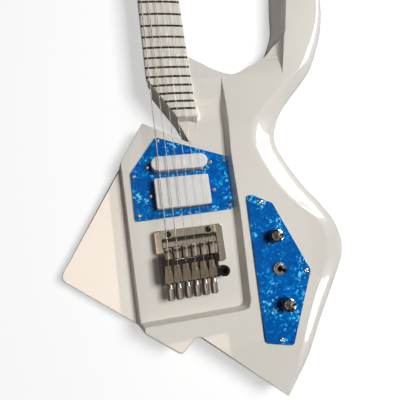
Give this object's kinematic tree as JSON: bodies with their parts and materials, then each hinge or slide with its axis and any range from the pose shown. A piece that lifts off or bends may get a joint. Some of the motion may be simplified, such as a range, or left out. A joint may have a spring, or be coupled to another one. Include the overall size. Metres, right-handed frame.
{
  "type": "headless electric guitar",
  "caption": "Headless electric guitar with a stepped angular body, long treble horn and a rocking tremolo bridge.",
  "frame": {"origin": "back face of the body, under the middle of the strings at the saddle line", "axes": "+Y along the strings towards the nut, +X to the treble side, +Z out of the face"},
  "size_m": [0.3883, 0.8629, 0.0591],
  "materials": {
    "white_lacquer": "gloss white lacquer on wood",
    "pale_board": "pale fine-grained wood with dark frets",
    "bone": "polished bone",
    "satin_nickel": "satin nickel",
    "dark_steel": "black oxide",
    "bright_steel": "polished steel",
    "pearl": "blue pearl, gloss",
    "black_plastic": "black",
    "pickup_white": "closed white cover"
  },
  "bodies": {
    "guitar": {"body": "white_lacquer", "neck": "white_lacquer", "fretboard": "pale_board", "nut": "bone", "headpiece": "satin_nickel", "bridge_frame": "satin_nickel", "switch_body": "satin_nickel", "bridge_screw_bass": "dark_steel", "bridge_screw_treble": "dark_steel", "truss_rod": "bright_steel", "pivot_shaft": "bright_steel", "spring_bass": "bright_steel", "spring_treble": "bright_steel", "volume_pot": "bright_steel", "tone_pot": "bright_steel", "output_jack": "bright_steel", "strap_button_horn": "bright_steel", "strap_button_tail": "bright_steel", "string_1": "bright_steel", "string_2": "bright_steel", "string_3": "bright_steel", "string_4": "bright_steel", "string_5": "bright_steel", "string_6": "bright_steel", "pickguard_screw_1": "bright_steel", "pickguard_screw_2": "bright_steel", "pickguard_screw_3": "bright_steel", "pickguard_screw_4": "bright_steel", "pickguard_screw_5": "bright_steel", "plate_screw_1": "bright_steel", "plate_screw_2": "bright_steel", "plate_screw_3": "bright_steel", "pickguard": "pearl", "control_plate": "pearl", "neck_pickup": "pickup_white", "bridge_pickup": "pickup_white"},
    "carriage": {"carriage": "dark_steel", "arm_socket": "black_plastic", "saddle_1": "satin_nickel", "saddle_2": "satin_nickel", "saddle_3": "satin_nickel", "saddle_4": "satin_nickel", "saddle_5": "satin_nickel", "saddle_6": "satin_nickel"},
    "tuner_1": {"tuner_knob_1": "satin_nickel"},
    "jaw_block_1": {"jaw_1": "satin_nickel"},
    "tuner_2": {"tuner_knob_2": "satin_nickel"},
    "jaw_block_2": {"jaw_2": "satin_nickel"},
    "tuner_3": {"tuner_knob_3": "satin_nickel"},
    "jaw_block_3": {"jaw_3": "satin_nickel"},
    "tuner_4": {"tuner_knob_4": "satin_nickel"},
    "jaw_block_4": {"jaw_4": "satin_nickel"},
    "tuner_5": {"tuner_knob_5": "satin_nickel"},
    "jaw_block_5": {"jaw_5": "satin_nickel"},
    "tuner_6": {"tuner_knob_6": "satin_nickel"},
    "jaw_block_6": {"jaw_6": "satin_nickel"},
    "volume": {"volume_knob": "bright_steel"},
    "tone": {"tone_knob": "bright_steel"},
    "selector": {"switch_lever": "black_plastic"}
  },
  "joints": [
    {"name": "tremolo_rock", "type": "hinge", "parent": "guitar", "child": "carriage", "pos_m": [0, 0.003, 0.035], "axis": [-1, 0, 0], "range_deg": [-3.5, 8], "stiffness_Nm_per_rad": 12, "deforming": ["string_1", "string_2", "string_3", "string_4", "string_5", "string_6", "spring_bass", "spring_treble"]},
    {"name": "tuner_turn_1", "type": "hinge", "parent": "carriage", "child": "tuner_1", "pos_m": [-0.02935, -0.05, 0.0434], "axis": [0, 1, 0], "range_deg": [-2080, 790]},
    {"name": "jaw_slide_1", "type": "slide", "parent": "carriage", "child": "jaw_block_1", "axis": [0, -1, 0], "range_m": [-0.004, 0.0015]},
    {"name": "tuner_turn_2", "type": "hinge", "parent": "carriage", "child": "tuner_2", "pos_m": [-0.01945, -0.05, 0.0434], "axis": [0, 1, 0], "range_deg": [-2080, 790]},
    {"name": "jaw_slide_2", "type": "slide", "parent": "carriage", "child": "jaw_block_2", "axis": [0, -1, 0], "range_m": [-0.004, 0.0015]},
    {"name": "tuner_turn_3", "type": "hinge", "parent": "carriage", "child": "tuner_3", "pos_m": [-0.00955, -0.05, 0.0434], "axis": [0, 1, 0], "range_deg": [-2080, 790]},
    {"name": "jaw_slide_3", "type": "slide", "parent": "carriage", "child": "jaw_block_3", "axis": [0, -1, 0], "range_m": [-0.004, 0.0015]},
    {"name": "tuner_turn_4", "type": "hinge", "parent": "carriage", "child": "tuner_4", "pos_m": [0.00035, -0.05, 0.0434], "axis": [0, 1, 0], "range_deg": [-2080, 790]},
    {"name": "jaw_slide_4", "type": "slide", "parent": "carriage", "child": "jaw_block_4", "axis": [0, -1, 0], "range_m": [-0.004, 0.0015]},
    {"name": "tuner_turn_5", "type": "hinge", "parent": "carriage", "child": "tuner_5", "pos_m": [0.01025, -0.05, 0.0434], "axis": [0, 1, 0], "range_deg": [-2080, 790]},
    {"name": "jaw_slide_5", "type": "slide", "parent": "carriage", "child": "jaw_block_5", "axis": [0, -1, 0], "range_m": [-0.004, 0.0015]},
    {"name": "tuner_turn_6", "type": "hinge", "parent": "carriage", "child": "tuner_6", "pos_m": [0.02015, -0.05, 0.0434], "axis": [0, 1, 0], "range_deg": [-2080, 790]},
    {"name": "jaw_slide_6", "type": "slide", "parent": "carriage", "child": "jaw_block_6", "axis": [0, -1, 0], "range_m": [-0.004, 0.0015]},
    {"name": "volume_turn", "type": "hinge", "parent": "guitar", "child": "volume", "pos_m": [0.09945, -0.0054, 0.05], "axis": [0, 0, -1], "range_deg": [-270, 0]},
    {"name": "tone_turn", "type": "hinge", "parent": "guitar", "child": "tone", "pos_m": [0.10023, -0.084, 0.05], "axis": [0, 0, -1], "range_deg": [-270, 0]},
    {"name": "selector_tilt", "type": "hinge", "parent": "guitar", "child": "selector", "pos_m": [0.09984, -0.0438, 0.0439], "axis": [0.6428, 0.766, 0], "range_deg": [-32, 0]}
  ],
  "couplings": [
    {"joint": "tuner_turn_1", "follows": "jaw_slide_1", "rad_per_m": 8976},
    {"joint": "tuner_turn_2", "follows": "jaw_slide_2", "rad_per_m": 8976},
    {"joint": "tuner_turn_3", "follows": "jaw_slide_3", "rad_per_m": 8976},
    {"joint": "tuner_turn_4", "follows": "jaw_slide_4", "rad_per_m": 8976},
    {"joint": "tuner_turn_5", "follows": "jaw_slide_5", "rad_per_m": 8976},
    {"joint": "tuner_turn_6", "follows": "jaw_slide_6", "rad_per_m": 8976}
  ]
}
